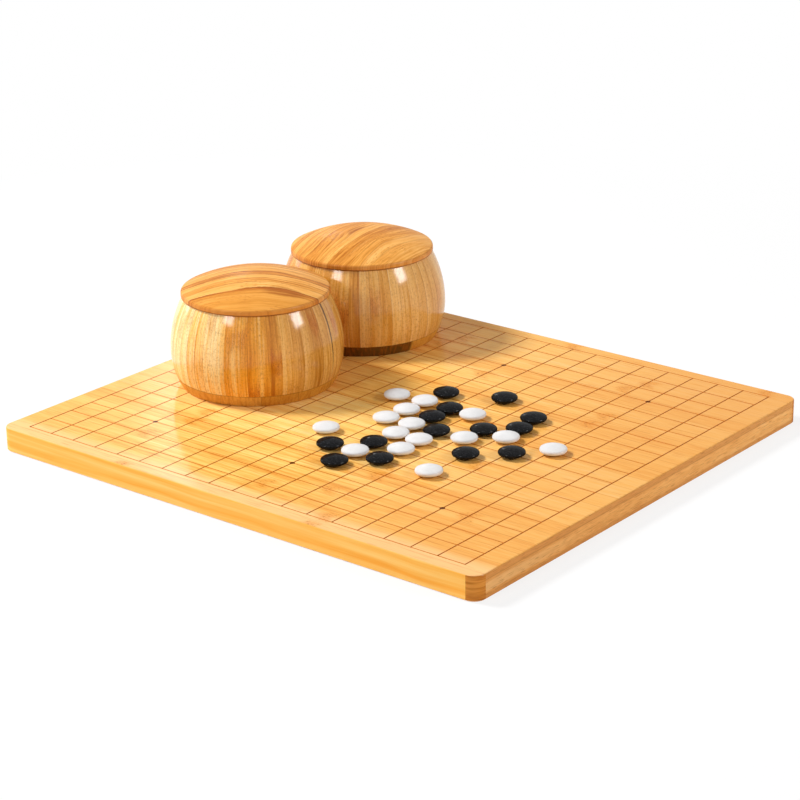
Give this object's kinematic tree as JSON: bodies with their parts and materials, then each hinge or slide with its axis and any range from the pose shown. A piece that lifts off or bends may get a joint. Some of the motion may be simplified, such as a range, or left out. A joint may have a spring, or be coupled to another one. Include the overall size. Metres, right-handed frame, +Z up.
{
  "type": "go board set with lidded bowls and stones",
  "caption": "Flat laminated bamboo go board with engraved lines, two lidded turned bowls standing on it, and loose black and white stones in play.",
  "frame": {"origin": "centre of the board's underside", "axes": "+Z up, +X along the long edge of the board, +Y along its short edge"},
  "size_m": [0.472, 0.431, 0.1145],
  "materials": {
    "board_face": "satin lacquered bamboo",
    "board_core": "satin lacquered bamboo, edge grain",
    "bowl_wall": "gloss lacquered bamboo staves",
    "bowl_base": "gloss lacquered bamboo",
    "bowl_lid": "gloss lacquered bamboo",
    "stone_black": "polished opaque",
    "stone_white": "polished opaque"
  },
  "bodies": {
    "board": {"board_top_ply": "board_face", "board_core_ply": "board_core", "board_bottom_ply": "board_face"},
    "bowl_black": {"bowl_black_body": "bowl_wall", "bowl_black_base": "bowl_base", "bowl_black_stones": "stone_black"},
    "lid_black": {"bowl_black_lid": "bowl_lid"},
    "play_black_01": {"stone_black_01": "stone_black"},
    "play_black_02": {"stone_black_02": "stone_black"},
    "play_black_03": {"stone_black_03": "stone_black"},
    "play_black_04": {"stone_black_04": "stone_black"},
    "play_black_05": {"stone_black_05": "stone_black"},
    "play_black_06": {"stone_black_06": "stone_black"},
    "play_black_07": {"stone_black_07": "stone_black"},
    "play_black_08": {"stone_black_08": "stone_black"},
    "play_black_09": {"stone_black_09": "stone_black"},
    "play_black_10": {"stone_black_10": "stone_black"},
    "play_black_11": {"stone_black_11": "stone_black"},
    "play_black_12": {"stone_black_12": "stone_black"},
    "play_black_13": {"stone_black_13": "stone_black"},
    "play_black_14": {"stone_black_14": "stone_black"},
    "bowl_white": {"bowl_white_body": "bowl_wall", "bowl_white_base": "bowl_base", "bowl_white_stones": "stone_white"},
    "lid_white": {"bowl_white_lid": "bowl_lid"},
    "play_white_01": {"stone_white_01": "stone_white"},
    "play_white_02": {"stone_white_02": "stone_white"},
    "play_white_03": {"stone_white_03": "stone_white"},
    "play_white_04": {"stone_white_04": "stone_white"},
    "play_white_05": {"stone_white_05": "stone_white"},
    "play_white_06": {"stone_white_06": "stone_white"},
    "play_white_07": {"stone_white_07": "stone_white"},
    "play_white_08": {"stone_white_08": "stone_white"},
    "play_white_09": {"stone_white_09": "stone_white"},
    "play_white_10": {"stone_white_10": "stone_white"},
    "play_white_11": {"stone_white_11": "stone_white"},
    "play_white_12": {"stone_white_12": "stone_white"},
    "play_white_13": {"stone_white_13": "stone_white"},
    "play_white_14": {"stone_white_14": "stone_white"},
    "play_white_15": {"stone_white_15": "stone_white"}
  },
  "joints": [
    {"name": "bowl_black_lift", "type": "slide", "parent": "board", "child": "bowl_black", "axis": [0, 0, 1], "range_m": [0, 0.06]},
    {"name": "bowl_white_lift", "type": "slide", "parent": "board", "child": "bowl_white", "axis": [0, 0, 1], "range_m": [0, 0.06]},
    {"name": "lid_black_lift", "type": "slide", "parent": "bowl_black", "child": "lid_black", "axis": [0, 0, 1], "range_m": [0, 0.06]},
    {"name": "lid_white_lift", "type": "slide", "parent": "bowl_white", "child": "lid_white", "axis": [0, 0, 1], "range_m": [0, 0.06]},
    {"name": "stone_black_01_lift", "type": "slide", "parent": "board", "child": "play_black_01", "axis": [0, 0, 1], "range_m": [0, 0.04]},
    {"name": "stone_black_02_lift", "type": "slide", "parent": "board", "child": "play_black_02", "axis": [0, 0, 1], "range_m": [0, 0.04]},
    {"name": "stone_black_03_lift", "type": "slide", "parent": "board", "child": "play_black_03", "axis": [0, 0, 1], "range_m": [0, 0.04]},
    {"name": "stone_black_04_lift", "type": "slide", "parent": "board", "child": "play_black_04", "axis": [0, 0, 1], "range_m": [0, 0.04]},
    {"name": "stone_black_05_lift", "type": "slide", "parent": "board", "child": "play_black_05", "axis": [0, 0, 1], "range_m": [0, 0.04]},
    {"name": "stone_black_06_lift", "type": "slide", "parent": "board", "child": "play_black_06", "axis": [0, 0, 1], "range_m": [0, 0.04]},
    {"name": "stone_black_07_lift", "type": "slide", "parent": "board", "child": "play_black_07", "axis": [0, 0, 1], "range_m": [0, 0.04]},
    {"name": "stone_black_08_lift", "type": "slide", "parent": "board", "child": "play_black_08", "axis": [0, 0, 1], "range_m": [0, 0.04]},
    {"name": "stone_black_09_lift", "type": "slide", "parent": "board", "child": "play_black_09", "axis": [0, 0, 1], "range_m": [0, 0.04]},
    {"name": "stone_black_10_lift", "type": "slide", "parent": "board", "child": "play_black_10", "axis": [0, 0, 1], "range_m": [0, 0.04]},
    {"name": "stone_black_11_lift", "type": "slide", "parent": "board", "child": "play_black_11", "axis": [0, 0, 1], "range_m": [0, 0.04]},
    {"name": "stone_black_12_lift", "type": "slide", "parent": "board", "child": "play_black_12", "axis": [0, 0, 1], "range_m": [0, 0.04]},
    {"name": "stone_black_13_lift", "type": "slide", "parent": "board", "child": "play_black_13", "axis": [0, 0, 1], "range_m": [0, 0.04]},
    {"name": "stone_black_14_lift", "type": "slide", "parent": "board", "child": "play_black_14", "axis": [0, 0, 1], "range_m": [0, 0.04]},
    {"name": "stone_white_01_lift", "type": "slide", "parent": "board", "child": "play_white_01", "axis": [0, 0, 1], "range_m": [0, 0.04]},
    {"name": "stone_white_02_lift", "type": "slide", "parent": "board", "child": "play_white_02", "axis": [0, 0, 1], "range_m": [0, 0.04]},
    {"name": "stone_white_03_lift", "type": "slide", "parent": "board", "child": "play_white_03", "axis": [0, 0, 1], "range_m": [0, 0.04]},
    {"name": "stone_white_04_lift", "type": "slide", "parent": "board", "child": "play_white_04", "axis": [0, 0, 1], "range_m": [0, 0.04]},
    {"name": "stone_white_05_lift", "type": "slide", "parent": "board", "child": "play_white_05", "axis": [0, 0, 1], "range_m": [0, 0.04]},
    {"name": "stone_white_06_lift", "type": "slide", "parent": "board", "child": "play_white_06", "axis": [0, 0, 1], "range_m": [0, 0.04]},
    {"name": "stone_white_07_lift", "type": "slide", "parent": "board", "child": "play_white_07", "axis": [0, 0, 1], "range_m": [0, 0.04]},
    {"name": "stone_white_08_lift", "type": "slide", "parent": "board", "child": "play_white_08", "axis": [0, 0, 1], "range_m": [0, 0.04]},
    {"name": "stone_white_09_lift", "type": "slide", "parent": "board", "child": "play_white_09", "axis": [0, 0, 1], "range_m": [0, 0.04]},
    {"name": "stone_white_10_lift", "type": "slide", "parent": "board", "child": "play_white_10", "axis": [0, 0, 1], "range_m": [0, 0.04]},
    {"name": "stone_white_11_lift", "type": "slide", "parent": "board", "child": "play_white_11", "axis": [0, 0, 1], "range_m": [0, 0.04]},
    {"name": "stone_white_12_lift", "type": "slide", "parent": "board", "child": "play_white_12", "axis": [0, 0, 1], "range_m": [0, 0.04]},
    {"name": "stone_white_13_lift", "type": "slide", "parent": "board", "child": "play_white_13", "axis": [0, 0, 1], "range_m": [0, 0.04]},
    {"name": "stone_white_14_lift", "type": "slide", "parent": "board", "child": "play_white_14", "axis": [0, 0, 1], "range_m": [0, 0.04]},
    {"name": "stone_white_15_lift", "type": "slide", "parent": "board", "child": "play_white_15", "axis": [0, 0, 1], "range_m": [0, 0.04]}
  ]
}
